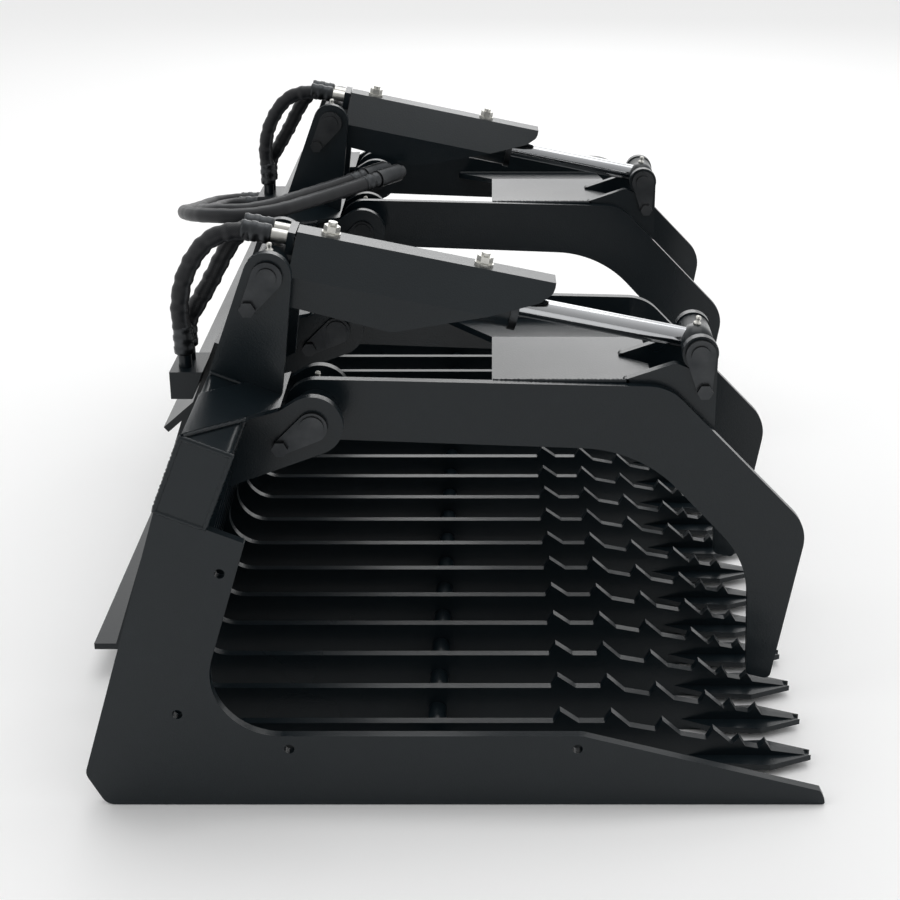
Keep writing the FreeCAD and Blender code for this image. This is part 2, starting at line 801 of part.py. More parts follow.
def guard_fasteners(y):
    """Studs in the saddles with washers and nuts on the guard's top."""
    shapes = []
    nut_start = guard_top + washer_thickness
    for station in guard_bolts:
        stud_foot = guard_top - guard_thickness
        stud_top = nut_start + nut_height + stud_stand
        stud = upright(station, stud_foot, stud_top - stud_foot, guard_bolt_radius - stud_clearance)
        washer = upright(station, guard_top, washer_thickness, 2 * guard_bolt_radius)
        points = []
        for i in range(6):
            angle = math.radians(60 * i)
            place = (station + nut_radius * math.cos(angle), nut_radius * math.sin(angle), nut_start)
            points.append(FreeCAD.Vector(*place))
        nut = Part.Face(Part.makePolygon(points + [points[0]])).extrude(FreeCAD.Vector(0, 0, nut_height))
        shapes.append(along_cylinder(washer.fuse(stud).fuse(nut).removeSplitter(), y))
    return shapes


def cylinder_fittings(y):
    shapes = []
    for side in (-1, 1):
        start = FreeCAD.Vector(eye_overlap - fitting_length, side * port_lateral, port_lift)
        bar = Part.makeCylinder(fitting_radius, fitting_length, start, FreeCAD.Vector(1, 0, 0))
        shapes.append(along_cylinder(bar, y))
    return shapes


def hose(points):
    """Tube of straight runs and tangent arcs. Returns the solid and its length."""
    vectors = [FreeCAD.Vector(*p) for p in points]
    edges = []
    cursor = vectors[0]
    radii = []
    for i in range(1, len(vectors) - 1):
        to_before = vectors[i - 1] - vectors[i]
        to_after = vectors[i + 1] - vectors[i]
        turn = math.pi - to_before.getAngle(to_after)
        shorter = min(to_before.Length, to_after.Length)
        reach = hose_bend_share * shorter
        radius = reach / math.tan(turn / 2)
        radii.append(radius)
        before = to_before.normalize()
        after = to_after.normalize()
        start = vectors[i] + before * reach
        end = vectors[i] + after * reach
        bisector = (before + after).normalize()
        middle = vectors[i] + bisector * (radius / math.cos(turn / 2) - radius)
        edges.append(Part.LineSegment(cursor, start).toShape())
        edges.append(Part.Arc(start, middle, end).toShape())
        cursor = end
    edges.append(Part.LineSegment(cursor, vectors[-1]).toShape())
    path = Part.Wire(edges)
    first = (vectors[1] - vectors[0]).normalize()
    ring = Part.Wire(Part.Circle(vectors[0], first, hose_radius).toShape())
    solid = path.makePipeShell([ring], True, True)
    length = path.Length
    print("  hose length %.0f, radii %s, volume share %.3f" % (
        length, [round(r) for r in radii], solid.Volume / (math.pi * hose_radius ** 2 * length)))
    return solid


def cylinder_point(station, lift):
    a = math.radians(cylinder_angle)
    return (
        base_x + station * math.cos(a) - lift * math.sin(a),
        base_z + station * math.sin(a) + lift * math.cos(a),
    )


def hose_block(y):
    """Ported block behind the top tube with two upward fittings."""
    low = crossing((0, block_bottom), (1, 0), on_tube(0, 0), up)
    high = crossing((0, block_top), (1, 0), on_tube(0, 0), up)
    corners = [(low[0] - rear_gap, low[1]), (high[0] - rear_gap, high[1]),
               (block_rear, block_top), (block_rear, block_bottom)]
    block = plate_at(corners, y, 2 * block_half)
    for side in (-1, 1):
        foot = FreeCAD.Vector(block_port_x - centre_x, y + side * port_lateral, block_top)
        block = block.fuse(Part.makeCylinder(fitting_radius, block_port_length, foot))
    return block.removeSplitter()


def cylinder_hose(y, lateral):
    """Hose from the barrel's base fitting, back over the tube and down to its block."""
    start = cylinder_point(eye_overlap - fitting_length, port_lift)
    second = cylinder_point(eye_overlap - fitting_length - hose_lead, port_lift)
    bend = outer_bend if lateral < 0 else inner_bend
    port_end = block_top + block_port_length
    route = [start, second] + bend + [(block_port_x, port_end + hose_rise), (block_port_x, port_end)]
    return hose([(x - centre_x, y + lateral, z) for x, z in route])


outer_bend = [(150.0, 672.0), (116.0, 622.0), (106.0, 572.0)]
inner_bend = [(172.0, 652.0), (146.0, 602.0), (119.0, 560.0)]
supply_route = [(92.0, 323.0, 474.0), (36.0, 323.0, 474.0), (14.0, 230.0, 484.0), (20.0, 90.0, 522.0),
                (60.0, -6.0, 546.0), (128.0, -10.0, 547.0), (210.0, 91.0, 550.0), (295.0, 200.0, 555.0)]
supply_offset = [(0.0, 32.0, 0.0), (-16.0, 32.0, 0.0), (-31.0, 4.0, 0.0), (-30.0, -10.0, 0.0),
                 (-17.0, -30.0, 0.0), (14.0, -32.0, 0.0), (25.0, -22.0, 0.0), (25.0, -22.0, 0.0)]


def supply_hose(offset_share):
    points = []
    for place, offset in zip(supply_route, supply_offset):
        x = place[0] + offset[0] * offset_share - centre_x
        points.append((x, place[1] + offset[1] * offset_share, place[2]))
    return hose(points), points


def coupler(points):
    """Quick coupler screwed on the end of a supply hose."""
    end = FreeCAD.Vector(*points[-1])
    direction = (end - FreeCAD.Vector(*points[-2])).normalize()
    body = Part.makeCylinder(coupler_radius, coupler_length, end, direction)
    nose_start = end + direction * (coupler_length - coupler_nose_overlap)
    nose = Part.makeCylinder(coupler_nose_radius, coupler_nose_length, nose_start, direction)
    return body.fuse(nose).removeSplitter()


os.makedirs("parts", exist_ok=True)

# Frame
right_side = side_plate()
save("side_plate_right", right_side)
save("side_plate_left", mirrored(right_side))
groups = {
    "tines_right_outer": range(1, 5),
    "tines_right_inner": range(5, 9),
    "tines_middle": range(9, 12),
    "tines_left_inner": range(12, 16),
    "tines_left_outer": range(16, 20),
}
for name, members in groups.items():
    save(name, *[tine(-side_y + k * pitch) for k in members])
leaves = []
for k in range(1, tine_count + 1):
    leaves.extend(stiffener(-side_y + k * pitch))
save("tine_tip_stiffeners", *leaves)
rod_start = -side_y + plate / 2 - rod_seat_depth + rod_hole_clearance
save("cross_rod", round_bar(rod_x, rod_height, rod_start, -2 * rod_start, rod_radius))
save("top_tube", top_tube())
save("tube_end_caps", tube_cap(-1), tube_cap(1))
save("quick_attach_plate", attach_plate())
save("hook_flange", hook_flange())
save("quick_attach_gussets", end_gusset(-1), end_gusset(1))

units = (("right", -arm_outer, -arm_inner), ("left", arm_inner, arm_outer))
for hand, right_arm, left_arm in units:
    right_face = right_arm + plate / 2
    left_face = left_arm - plate / 2
    middle = right_face + plate + lug_gap / 2
    arms = (right_arm, left_arm)
    save("hinge_ears_" + hand, *[hinge_ear(a + s * ear_offset) for a in arms for s in (-1, 1)])
    posts = [tower(middle - tower_offset), tower(middle + tower_offset)]
    save("towers_" + hand, *posts)
    save("ear_braces_" + hand, *[ear_brace(a, posts) for a in arms])
    reach = ear_offset + plate / 2
    pins = [flagged_pin(hinge_x, hinge_z, a - reach, a + reach, hinge_pin_radius, hinge_flag) for a in arms]
    bolts = [flag_bolt(hinge_x, hinge_z, hinge_flag, a - reach, -1) for a in arms]
    reach = tower_offset + plate / 2
    pins.append(flagged_pin(base_x, base_z, middle - reach, middle + reach, cylinder_pin_radius, base_flag))
    bolts.append(flag_bolt(base_x, base_z, base_flag, middle - reach, -1))
    save("frame_pins_" + hand, *pins)
    save("frame_flag_bolts_" + hand, *bolts)

    outer_arm, inner_arm = arms if hand == "right" else (left_arm, right_arm)
    save("arm_outer_" + hand, arm_plate(outer_arm))
    save("arm_inner_" + hand, arm_plate(inner_arm))
    save("arm_hubs_" + hand, *[hub(a) for a in arms])
    save("arm_cross_plate_" + hand, cross_plate(right_face, left_face))
    save("arm_cross_tube_" + hand, cross_tube(right_face, left_face))
    save("rod_lugs_" + hand, rod_lug(middle - lug_plane), rod_lug(middle + lug_plane))
    stubs = []
    for s in (-1, 1):
        face = middle + s * (lug_plane + plate / 2)
        flag = pin_flag(rod_pin_x, rod_pin_z, rod_flag, face, s, cylinder_pin_radius)
        stubs.append(rod_pin_stub(middle, s).fuse(flag).removeSplitter())
        stubs.append(flag_bolt(rod_pin_x, rod_pin_z, rod_flag, face, s))
    save("rod_pins_" + hand, *stubs)

    save("barrel_" + hand, barrel(middle))
    save("gland_" + hand, gland(middle))
    save("guard_" + hand, guard(middle))
    save("guard_bolts_" + hand, *guard_fasteners(middle))
    save("cylinder_fittings_" + hand, *cylinder_fittings(middle))
    save("piston_rod_" + hand, piston_rod(middle))
    save("hose_block_" + hand, hose_block(middle))
    save("base_hose_" + hand, cylinder_hose(middle, -port_lateral))
    save("rod_hose_" + hand, cylinder_hose(middle, port_lateral))

for number, share in (("first", 0.0), ("second", 1.0)):
    solid, points = supply_hose(share)
    save("supply_hose_" + number, solid)
    save("hose_coupler_" + number, coupler(points))

retracted = closed_length - stroke
reach = math.hypot(base_x - hinge_x, base_z - hinge_z)
radius = math.hypot(rod_pin_x - hinge_x, rod_pin_z - hinge_z)
wide = math.acos((reach ** 2 + radius ** 2 - closed_length ** 2) / (2 * reach * radius))
narrow = math.acos((reach ** 2 + radius ** 2 - retracted ** 2) / (2 * reach * radius))
print("arm swing", math.degrees(wide - narrow))
print("centre_x", centre_x, "closed", closed_length, "angle", cylinder_angle)
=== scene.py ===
import json
import math

import bmesh
import bpy
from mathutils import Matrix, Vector


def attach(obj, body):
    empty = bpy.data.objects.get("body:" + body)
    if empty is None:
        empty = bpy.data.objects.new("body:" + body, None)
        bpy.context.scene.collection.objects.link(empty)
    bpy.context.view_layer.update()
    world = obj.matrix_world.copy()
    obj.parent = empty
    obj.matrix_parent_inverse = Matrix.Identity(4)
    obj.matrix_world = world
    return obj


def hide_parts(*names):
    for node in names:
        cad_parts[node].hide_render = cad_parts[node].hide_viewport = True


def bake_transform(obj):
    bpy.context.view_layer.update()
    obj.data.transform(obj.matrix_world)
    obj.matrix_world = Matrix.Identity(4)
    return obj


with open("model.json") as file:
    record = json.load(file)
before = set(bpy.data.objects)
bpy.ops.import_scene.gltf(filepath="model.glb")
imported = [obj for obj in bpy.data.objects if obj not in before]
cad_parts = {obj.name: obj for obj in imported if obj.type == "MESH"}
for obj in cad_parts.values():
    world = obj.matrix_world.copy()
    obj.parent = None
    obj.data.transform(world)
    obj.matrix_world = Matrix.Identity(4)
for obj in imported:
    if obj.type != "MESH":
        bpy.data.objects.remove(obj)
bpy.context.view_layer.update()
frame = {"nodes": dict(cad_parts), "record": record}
scene = bpy.context.scene
heelToMiddle = 445.5  # the places below count x from the bucket's heel, in millimetres
plainUp = Vector((0, 0, 1))


def toFrame(x, y, z):
    return Vector(((x - heelToMiddle) / 1000, y / 1000, z / 1000))


def inPlane(y, points):
    return [toFrame(x, y, z) for x, z in points]


class Term:
    def __init__(self, tree, socket):
        self.tree = tree
        self.socket = socket

    def combine(self, operation, other=0.0):
        node = self.tree.nodes.new("ShaderNodeMath")
        node.operation = operation
        self.tree.links.new(self.socket, node.inputs[0])
        if isinstance(other, Term):
            self.tree.links.new(other.socket, node.inputs[1])
        else:
            node.inputs[1].default_value = other
        return Term(self.tree, node.outputs[0])

    def __add__(self, other):
        return self.combine("ADD", other)

    def __sub__(self, other):
        return self.combine("SUBTRACT", other)

    def __rsub__(self, other):
        return self.combine("MULTIPLY", -1.0).combine("ADD", other)

    def __mul__(self, other):
        return self.combine("MULTIPLY", other)

    def __pow__(self, other):
        return self.combine("POWER", other)

    __radd__ = __add__
    __rmul__ = __mul__

    def feed(self, kind, into=0, output=0, values=None, **settings):
        node = self.tree.nodes.new(kind)
        for name, value in settings.items():
            setattr(node, name, value)
        for name, value in (values or {}).items():
            node.inputs[name].default_value = value
        self.tree.links.new(self.socket, node.inputs[into])
        return Term(self.tree, node.outputs[output])


def source(tree, kind, output):
    return Term(tree, tree.nodes.new(kind).outputs[output])


def startMaterial(name):
    material = bpy.data.materials.new(name)
    material.use_nodes = True
    tree = material.node_tree
    return material, tree, tree.nodes["Principled BSDF"]


def noise(place, scale, detail):
    return place.feed("ShaderNodeTexNoise", "Vector", 0, {"Scale": scale, "Detail": detail})


def part(place, axis):
    return place.feed("ShaderNodeSeparateXYZ", 0, axis)


def wave(turn, kind):
    # A sine or cosine raised to run from 0 to 1.
    return 0.5 + 0.5 * turn.combine(kind)


def tint(amount, darkColor, lightColor):
    # The mix node's colour sockets share their names with its number sockets, so they go by place.
    colors = {6: (*darkColor, 1.0), 7: (*lightColor, 1.0)}
    return amount.feed("ShaderNodeMix", 0, 2, colors, data_type="RGBA")


bumpStrength = 0.35


def finishMaterial(tree, shader, color, roughness, height, distance):
    tree.links.new(color.socket, shader.inputs["Base Color"])
    tree.links.new(roughness.socket, shader.inputs["Roughness"])
    bump = height.feed("ShaderNodeBump", "Height", "Normal", {"Strength": bumpStrength, "Distance": distance})
    tree.links.new(bump.socket, shader.inputs["Normal"])


def paintMaterial(name, settings):
    material, tree, shader = startMaterial(name)
    place = source(tree, "ShaderNodeTexCoord", "Object")
    cloud = noise(place, settings["cloudScale"], settings["cloudDetail"])
    dust = noise(place, settings["dustScale"], settings["dustDetail"]) ** settings["dustSharpness"]
    scuff = noise(place, settings["scuffScale"], settings["scuffDetail"]) ** settings["scuffSharpness"]
    wear = dust * settings["dust"] + scuff * settings["scuff"]
    color = tint(wear, settings["dark"], settings["light"])
    roughness = cloud * settings["roughnessSpread"] + settings["roughness"]
    peel = noise(place, settings["peelScale"], settings["peelDetail"])
    finishMaterial(tree, shader, color, roughness, peel, settings["peelDepth"])
    shader.inputs["Specular IOR Level"].default_value = settings["specular"]
    shader.inputs["Coat Weight"].default_value = settings["coat"]
    shader.inputs["Coat Roughness"].default_value = settings["coatRoughness"]
    return material


def metalMaterial(name, settings):
    material, tree, shader = startMaterial(name)
    place = source(tree, "ShaderNodeTexCoord", "Object")
    cloud = noise(place, settings["cloudScale"], settings["cloudDetail"])
    grain = noise(place, settings["grainScale"], settings["grainDetail"])
    color = tint(cloud, settings["dark"], settings["light"])
    roughness = grain * settings["roughnessSpread"] + settings["roughness"]
    finishMaterial(tree, shader, color, roughness, grain, settings["grainDepth"])
    shader.inputs["Metallic"].default_value = 1.0
    return material


def sleeveMaterial(name, settings):
    # Woven fabric over a hose, with seams that run along it. The seams are raised in the bump, and the colour
    # also lightens them as a painted highlight along the hose.
    material, tree, shader = startMaterial(name)
    place = source(tree, "ShaderNodeTexCoord", "UV")
    around = part(place, "X") * settings["strandsAround"]
    along = part(place, "Y") * settings["strandsAlong"]
    weave = wave(around + along, "SINE") * wave(around - along, "SINE")
    # Two lines run along the hose. Each is a raised seam in the bump and a painted highlight in the colour.
    seamAndHighlightTurn = part(place, "X") * (2 * math.pi * settings["seamsWithHighlight"])
    seamAndPaintedHighlight = wave(seamAndHighlightTurn, "COSINE") ** settings["seamHighlightSharpness"]
    grime = noise(place, settings["grimeScale"], settings["grimeDetail"])
    # The weave's own pattern plus the seams' painted highlight, both varied by the grime noise.
    weaveAndSeamHighlight = weave * grime * settings["weave"] + seamAndPaintedHighlight * grime
    color = tint(weaveAndSeamHighlight, settings["dark"], settings["light"])
    roughness = settings["roughness"] - settings["weaveGloss"] * weave
    relief = weave * settings["weave"] + seamAndPaintedHighlight
    finishMaterial(tree, shader, color, roughness, relief, settings["seamHeight"])
    shader.inputs["Specular IOR Level"].default_value = settings["specular"]
    return material


paintSettings = {
    "dark": (0.0030, 0.0066, 0.0092), "light": (0.018, 0.027, 0.032),
    "dust": 0.4, "dustScale": 5.0, "dustDetail": 8.0, "dustSharpness": 3.0,
    "scuff": 1.2, "scuffScale": 34.0, "scuffDetail": 10.0, "scuffSharpness": 8.0,
    "cloudScale": 3.0, "cloudDetail": 3.0, "roughness": 0.2, "roughnessSpread": 0.22,
    "peelScale": 420.0, "peelDetail": 2.0, "peelDepth": 0.0006,
    "specular": 0.3, "coat": 0.12, "coatRoughness": 0.14,
}
steelSettings = {
    "dark": (0.02, 0.023, 0.026), "light": (0.085, 0.088, 0.091),
    "cloudScale": 30.0, "cloudDetail": 5.0, "grainScale": 260.0, "grainDetail": 3.0,
    "roughness": 0.28, "roughnessSpread": 0.2, "grainDepth": 0.0004,
}
zincSettings = {
    "dark": (0.42, 0.42, 0.4), "light": (0.78, 0.77, 0.72),
    "cloudScale": 60.0, "cloudDetail": 5.0, "grainScale": 400.0, "grainDetail": 3.0,
    "roughness": 0.24, "roughnessSpread": 0.22, "grainDepth": 0.0004,
}
chromeSettings = {
    "dark": (0.44, 0.45, 0.47), "light": (0.62, 0.63, 0.64),
    "cloudScale": 12.0, "cloudDetail": 5.0, "grainScale": 300.0, "grainDetail": 3.0,
    "roughness": 0.06, "roughnessSpread": 0.08, "grainDepth": 0.0001,
}
# The strands are in radians, once round the hose and for each metre along it.
sleeveSettings = {
    "dark": (0.005, 0.006, 0.008), "light": (0.075, 0.08, 0.086),
    "strandsAround": 150.8, "strandsAlong": 1800.0, "weave": 0.25, "weaveGloss": 0.15,
    # The seams carry a painted highlight in the colour as well as their raised relief.
    "seamsWithHighlight": 2, "seamHighlightSharpness": 40.0, "seamHeight": 0.0012,
    "grimeScale": 9.0, "grimeDetail": 6.0, "roughness": 0.5, "specular": 0.35,
}
materials = {
    "black_paint": paintMaterial("blackPaint", paintSettings),
    "pin_steel": metalMaterial("pinSteel", steelSettings),
    "zinc": metalMaterial("zinc", zincSettings),
    "chrome_rod": metalMaterial("chromeRod", chromeSettings),
    "hose": sleeveMaterial("hoseSleeve", sleeveSettings),
}
for entry in frame["record"]["subparts"]:
    for place in frame["nodes"][entry["node"]].material_slots:
        place.material = materials[entry["material_slot"]]
print("materials")

curveSettings = {"steps": 24, "order": 3}


def smoothLine(points):
    # The points of a smooth curve that starts and ends at the first and last given point.
    curve = bpy.data.curves.new("line", "CURVE")
    curve.dimensions = "3D"
    curve.resolution_u = curveSettings["steps"]
    spline = curve.splines.new("NURBS")
    spline.points.add(len(points) - 1)
    for target, point in zip(spline.points, points):
        target.co = (*point, 1.0)
    spline.order_u = curveSettings["order"]
    spline.use_endpoint_u = True
    holder = bpy.data.objects.new("line", curve)
    scene.collection.objects.link(holder)
    bpy.context.view_layer.update()
    evaluated = holder.evaluated_get(bpy.context.evaluated_depsgraph_get())
    mesh = bpy.data.meshes.new_from_object(evaluated)
    line = [vertex.co.copy() for vertex in mesh.vertices]
    bpy.data.meshes.remove(mesh)
    bpy.data.objects.remove(holder)
    return line


def travelAlong(line):
    travelled = [0.0]
    for before, point in zip(line, line[1:]):
        travelled.append(travelled[-1] + (point - before).length)
    return travelled


def finishPiece(name, mesh, slotName):
    bmesh.ops.recalc_face_normals(mesh, faces=mesh.faces)
    data = bpy.data.meshes.new(name)
    mesh.to_mesh(data)
    mesh.free()
    piece = bpy.data.objects.new(name, data)
    scene.collection.objects.link(piece)
    data.materials.append(materials[slotName])
    return piece


def sweep(name, line, radii, sides, slotName, closed=False):
    # A round skin along a line, open with flat ends or closed to a loop, with UV along it in metres.
    mesh = bmesh.new()
    uvLayer = mesh.loops.layers.uv.new("UVMap")
    count = len(line)
    side = None
    rings = []
    travelled = travelAlong(line)
    for i, point in enumerate(line):
        before = line[i - 1] if i or closed else line[0]
        after = line[(i + 1) % count] if i < count - 1 or closed else line[-1]
        tangent = (after - before).normalized()
        if side is None:
            side = tangent.orthogonal().normalized()
        side = (side - tangent * side.dot(tangent)).normalized()
        other = tangent.cross(side)
        ring = []
        for k in range(sides):
            angle = 2 * math.pi * k / sides
            outward = side * math.cos(angle) + other * math.sin(angle)
            ring.append(mesh.verts.new(point + outward * radii[i]))
        rings.append(ring)
    for i in range(count if closed else count - 1):
        following = (i + 1) % count
        startAlong = travelled[i]
        endAlong = travelled[following] if following else travelled[-1]
        for k in range(sides):
            turn = (k + 1) % sides
            corners = (rings[i][k], rings[i][turn], rings[following][turn], rings[following][k])
            face = mesh.faces.new(corners)
            face.smooth = True
            places = ((k, startAlong), (k + 1, startAlong), (k + 1, endAlong), (k, endAlong))
            for loop, (around, along) in zip(face.loops, places):
                loop[uvLayer].uv = (around / sides, along)
    if not closed:
        mesh.faces.new(list(reversed(rings[0])))
        mesh.faces.new(rings[-1])
    return finishPiece(name, mesh, slotName)


def turned(name, profile, sides, start, direction, slotName):
    # A profile of distance and radius spun once round its axis, with its ends filled.
    axis = direction.normalized()
    outward = axis.orthogonal().normalized()
    mesh = bmesh.new()
    outline = [mesh.verts.new(start + axis * along + outward * radius) for along, radius in profile]
    edges = [mesh.edges.new(pair) for pair in zip(outline, outline[1:])]
    bmesh.ops.spin(mesh, geom=outline + edges, cent=start, axis=axis, angle=2 * math.pi,
                   steps=sides, use_merge=True)
    for face in mesh.faces:
        face.smooth = True
    rims = [edge for edge in mesh.edges if edge.is_boundary]
    bmesh.ops.holes_fill(mesh, edges=rims, sides=0)
    return finishPiece(name, mesh, slotName)


# Two waves of different length across the hose make the sleeve's folds uneven.
foldShape = {"second": 0.6, "rate": 1.73, "shift": 1.1}


def sleeveRadii(line, radius, folds):
    radii = []
    for travelled in travelAlong(line):
        turn = 2 * math.pi * travelled / folds["spacing"]
        second = foldShape["second"] * math.sin(foldShape["rate"] * turn + foldShape["shift"])
        radii.append(radius * (1 + folds["depth"] * (math.sin(turn) + second)))
    return radii


# Distance along the hose and radius, in metres.
ferrule = {
    "profile": [(-0.002, 0.0105), (0.0, 0.0132), (0.008, 0.0138), (0.010, 0.0128), (0.016, 0.0128),
                (0.018, 0.0139), (0.024, 0.0139), (0.026, 0.0128), (0.032, 0.0128), (0.034, 0.0137),
                (0.038, 0.0125)],
    "sides": 20,
    "slot": "pin_steel",
}


def ferruleAt(name, end, inside, body):
    piece = turned(name, ferrule["profile"], ferrule["sides"], end, inside - end, ferrule["slot"])
    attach(piece, body)
    return piece


# Each cylinder has a hose outside and one inside, from its fittings over a bend down to the block.
cylinderHoses = {
    "radius": 0.012,
    "sides": 20,
    "fitting": [(232.044, 675.317), (198.739, 682.156)],
    "block": [(110, 543), (110, 513)],
    "bends": {"base": [(150, 672), (116, 622), (106, 572)], "rod": [(172, 652), (146, 602), (119, 560)]},
    "lateral": {"base": -16, "rod": 16},
    "planes": {"right": -600.15, "left": 338.85},
    "folds": {"spacing": 0.023, "depth": 0.05},
    "stillPoints": 4,
}
for hand, plane in cylinderHoses["planes"].items():
    for kind, bend in cylinderHoses["bends"].items():
        route = cylinderHoses["fitting"] + bend + cylinderHoses["block"]
        line = smoothLine(inPlane(plane + cylinderHoses["lateral"][kind], route))
        name = kind + "Hose" + hand.capitalize()
        radii = sleeveRadii(line, cylinderHoses["radius"], cylinderHoses["folds"])
        piece = sweep(name, line, radii, cylinderHoses["sides"], "hose")
        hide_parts(kind + "_hose_" + hand)
        upper = ferruleAt(name + "UpperFerrule", line[0], line[1], hand + "_barrel")
        lower = ferruleAt(name + "LowerFerrule", line[-1], line[-2], "root")
        travelAlong(line)[-1]
        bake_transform(piece)
print("cylinder hoses")

supplyHoses = {
    "radius": 0.012,
    "sides": 20,
    "folds": {"spacing": 0.037, "depth": 0.018},
    "routes": {
        "first": [(92, 323, 474), (36, 323, 474), (14, 230, 484), (20, 90, 522),
                  (60, -6, 546), (128, -10, 547), (210, 91, 550), (295, 200, 555)],
        "second": [(92, 355, 474), (20, 355, 474), (-17, 234, 484), (-10, 80, 522),
                   (43, -36, 546), (142, -42, 547), (235, 69, 550), (320, 178, 555)],
    },
}
for order, route in supplyHoses["routes"].items():
    line = smoothLine([toFrame(*point) for point in route])
    name = "supplyHose" + order.capitalize()
    radii = sleeveRadii(line, supplyHoses["radius"], supplyHoses["folds"])
    piece = sweep(name, line, radii, supplyHoses["sides"], "hose")
    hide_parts("supply_hose_" + order)
    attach(piece, "root")
    root = ferruleAt(name + "RootFerrule", line[0], line[1], "root")
    tip = ferruleAt(name + "TipFerrule", line[-1], line[-2], "root")
    travelAlong(line)[-1]
print("supply hoses")

beads = {
    "radius": 0.0032, "sides": 8, "step": 0.0028, "fewestSteps": 2,
    "ripple": 0.22, "wander": 0.12, "wanderRates": (1.7, 0.61),
    "fromPlate": 6.6,  # from a plate's middle to the line of its bead
}


def weldBead(name, corners, body, closed=False):
    ends = corners[1:] + corners[:1] if closed else corners[1:]
    line = []
    for start, end in zip(corners, ends):
        steps = max(beads["fewestSteps"], int((end - start).length / beads["step"]))
        for i in range(steps):
            line.append(start.lerp(end, i / steps))
    if not closed:
        line.append(corners[-1])
    quick, slow = beads["wanderRates"]
    radii = []
    for i in range(len(line)):
        ripple = beads["ripple"] * (0.5 + 0.5 * math.cos(math.pi * i))
        wander = beads["wander"] * (math.sin(i * quick) * math.sin(i * slow))
        radii.append(beads["radius"] * (1 + ripple + wander))
    piece = sweep(name, line, radii, beads["sides"], "black_paint", closed)
    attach(piece, body)


capBeads = {"plane": 912.5, "corners": [(115.5, 416.0), (153.6, 510.2), (212.5, 486.4), (174.4, 392.2)]}
for hand, side in (("Right", -1), ("Left", 1)):
    weldBead("capBead" + hand, inPlane(side * capBeads["plane"], capBeads["corners"]), "root", closed=True)

towerBeads = {
    "planes": [-683.25, -517.05, 255.75, 421.95],
    "run": [(154.5, 510.6), (212.5, 487.2)],
}
for number, plane in enumerate(towerBeads["planes"]):
    for label, side in (("Near", -1), ("Far", 1)):
        run = inPlane(plane + side * beads["fromPlate"], towerBeads["run"])
        weldBead("towerBead%d%s" % (number, label), run, "root")

# Each arm's hinge has two ears on the tube's front, and a brace on the tube's top whose two edges are welded.
armPlanes = [-664, -275, 275, 664]
earBeads = {"offset": 60.5, "run": [(212.8, 485.8), (175.2, 393.0)]}
braceBeads = {"offset": 66.85, "rear": (154.8, -181, 512), "front": (212.8, -68, 488.8)}
for number, plane in enumerate(armPlanes):
    for earLabel, earSide in (("Low", -1), ("High", 1)):
        for label, side in (("Near", -1), ("Far", 1)):
            y = plane + earSide * earBeads["offset"] + side * beads["fromPlate"]
            weldBead("earBead%d%s%s" % (number, earLabel, label), inPlane(y, earBeads["run"]), "root")
    for label, side in (("Near", -1), ("Far", 1)):
        edge = plane + side * braceBeads["offset"]
        run = [toFrame(x, edge + shift, z) for x, shift, z in (braceBeads["rear"], braceBeads["front"])]
        weldBead("braceBead%d%s" % (number, label), run, "root")

# Places across a grapple count from the inner face of its right arm.
grappleBeads = {
    "innerFaces": {"right": (-657.65, -281.35), "left": (281.35, 657.65)},
    "fromFace": 1,
    "plateNear": [(522, 486.4), (698, 486.4)],
    "plateFar": [(456, 451.6), (732, 451.6)],
    "lugRun": [(750.5, 417.5), (801.3, 417.5), (801.3, 373)],
    "lugPlaces": {"Near": 13.2, "Mid": 101.8, "Far": 115.5},
    "toe": (698.6, 486.4),
    "toeSpans": {"Near": (0, 12.7), "Far": (102.3, 115)},
}
for hand, (right, left) in grappleBeads["innerFaces"].items():
    body = hand + "_grapple"
    nearRun = inPlane(right + grappleBeads["fromFace"], grappleBeads["plateNear"])
    weldBead(hand + "PlateBeadNear", nearRun, body)
    farRun = inPlane(left - grappleBeads["fromFace"], grappleBeads["plateFar"])
    weldBead(hand + "PlateBeadFar", farRun, body)
    for label, across in grappleBeads["lugPlaces"].items():
        weldBead(hand + "LugBead" + label, inPlane(right + across, grappleBeads["lugRun"]), body)
    toeX, toeZ = grappleBeads["toe"]
    for label, span in grappleBeads["toeSpans"].items():
        weldBead(hand + "LugToeBead" + label, [toFrame(toeX, right + across, toeZ) for across in span], body)
print("weld beads")

# The rod and its eye are one solid, so a thin black skin covers the eye's chrome.
rodEyes = {
    "profile": [(-0.0442, 0.0223), (0.0442, 0.0223)],
    "sides": 48,
    "pin": (795, 525),
    "direction": Vector((0, 1, 0)),
}
pinX, pinZ = rodEyes["pin"]
for hand, plane in cylinderHoses["planes"].items():
    middle = toFrame(pinX, plane, pinZ)
    eye = turned(hand + "RodEyePaint", rodEyes["profile"], rodEyes["sides"], middle,
                 rodEyes["direction"], "black_paint")
    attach(eye, hand + "_rod")
print("rod eyes")

nipple = {
    "profile": [(0.0, 0.0052), (0.0035, 0.0052), (0.0036, 0.0036), (0.007, 0.003),
                (0.0085, 0.0042), (0.0115, 0.0034), (0.0125, 0.0012)],
    "sides": 20,
    "slot": "zinc",
    "rod": {"x": 795, "across": 0, "z": 546.7, "direction": Vector((0.2, 0, 1))},
    "base": {"x": 235, "across": -50, "z": 661.7, "direction": plainUp},
    "hub": {"x": 289, "across": 30, "z": 480.2, "direction": plainUp},
}


def nippleAt(name, plane, kind, body):
    spot = nipple[kind]
    start = toFrame(spot["x"], plane + spot["across"], spot["z"])
    piece = turned(name, nipple["profile"], nipple["sides"], start, spot["direction"], nipple["slot"])
    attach(piece, body)


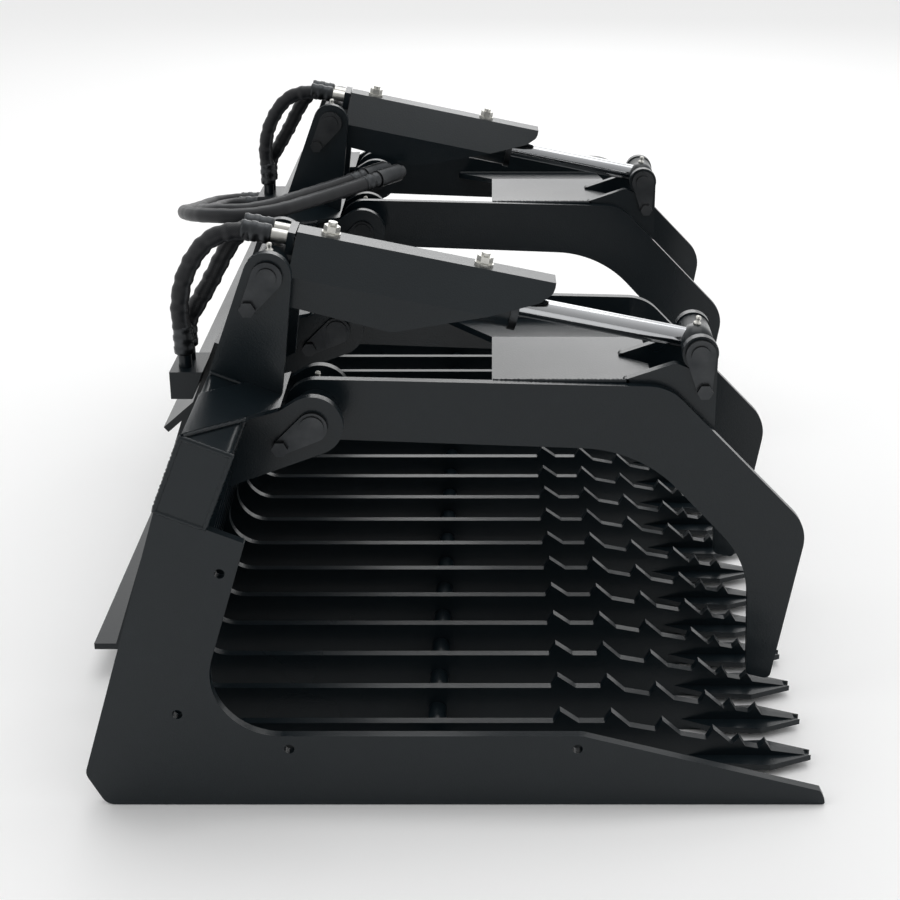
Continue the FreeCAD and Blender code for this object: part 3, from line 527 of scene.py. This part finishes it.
for hand, plane in cylinderHoses["planes"].items():
    nippleAt(hand + "RodNipple", plane, "rod", hand + "_rod")
    nippleAt(hand + "BaseNipple", plane, "base", hand + "_barrel")
for number, plane in enumerate(armPlanes):
    nippleAt("hubNipple%d" % number, plane, "hub", "right_grapple" if plane < 0 else "left_grapple")
print("grease nipples")

floor = {"halfSize": 30, "segments": 2, "drop": 0.001, "color": (0.93, 0.93, 0.93, 1), "roughness": 0.85}
floorMesh = bmesh.new()
bmesh.ops.create_grid(floorMesh, x_segments=floor["segments"], y_segments=floor["segments"],
                      size=floor["halfSize"])
floorData = bpy.data.meshes.new("floor")
floorMesh.to_mesh(floorData)
floorMesh.free()
floorPiece = bpy.data.objects.new("floor", floorData)
floorPiece.location.z = -floor["drop"]
scene.collection.objects.link(floorPiece)
floorMaterial, _, floorShader = startMaterial("paleFloor")
floorShader.inputs["Base Color"].default_value = floor["color"]
floorShader.inputs["Roughness"].default_value = floor["roughness"]
floorData.materials.append(floorMaterial)

# The studio is bright behind the part and dim in front, so top faces shine and the near side stays dark.
# Seen straight from the camera it is plain white.
studio = {"color": (1.0, 1.0, 1.0, 1), "middle": 0.88, "spread": 0.45}
world = bpy.data.worlds.new("studio")
scene.world = world
world.use_nodes = True
background = world.node_tree.nodes["Background"]
background.inputs["Color"].default_value = studio["color"]
depth = part(source(world.node_tree, "ShaderNodeTexCoord", "Generated"), "Y")
glow = depth * studio["spread"] + studio["middle"]
seen = source(world.node_tree, "ShaderNodeLightPath", "Is Camera Ray")
strength = glow * (1 - seen) + seen
world.node_tree.links.new(strength.socket, background.inputs["Strength"])

lamps = {
    "back": {"place": (0.3, 4.4, 2.6), "size": 2.4, "power": 28, "aim": (0, 0, 0.3)},
    "top": {"place": (0.2, 0.6, 3.6), "size": 2.4, "power": 26, "aim": (0, 0, 0.2)},
    "left": {"place": (-3.2, -2.2, 2.6), "size": 1.6, "power": 12, "aim": (0, 0, 0.3)},
}
for name, lamp in lamps.items():
    data = bpy.data.lights.new(name, "AREA")
    data.size = lamp["size"]
    data.energy = lamp["power"]
    light = bpy.data.objects.new(name, data)
    light.location = lamp["place"]
    aim = Vector(lamp["aim"]) - Vector(lamp["place"])
    light.rotation_euler = aim.to_track_quat("-Z", "Y").to_euler()
    scene.collection.objects.link(light)

# The photograph's own camera, fitted in pixels of its square frame.
view = {
    "pitch": 22.58, "focalPixels": 1724.0, "place": (0.0755, -2.794, 1.277),
    "centreColumn": 492.0, "frame": 900.0, "sensor": 36.0,
}
cameraData = bpy.data.cameras.new("camera")
cameraData.sensor_width = view["sensor"]
cameraData.lens = view["sensor"] * view["focalPixels"] / view["frame"]
cameraData.shift_x = (view["frame"] / 2 - view["centreColumn"]) / view["frame"]
camera = bpy.data.objects.new("camera", cameraData)
camera.location = view["place"]
camera.rotation_euler = (math.radians(90 - view["pitch"]), 0, 0)
scene.collection.objects.link(camera)
scene.camera = camera
scene.view_settings.view_transform = "Standard"
print("studio")
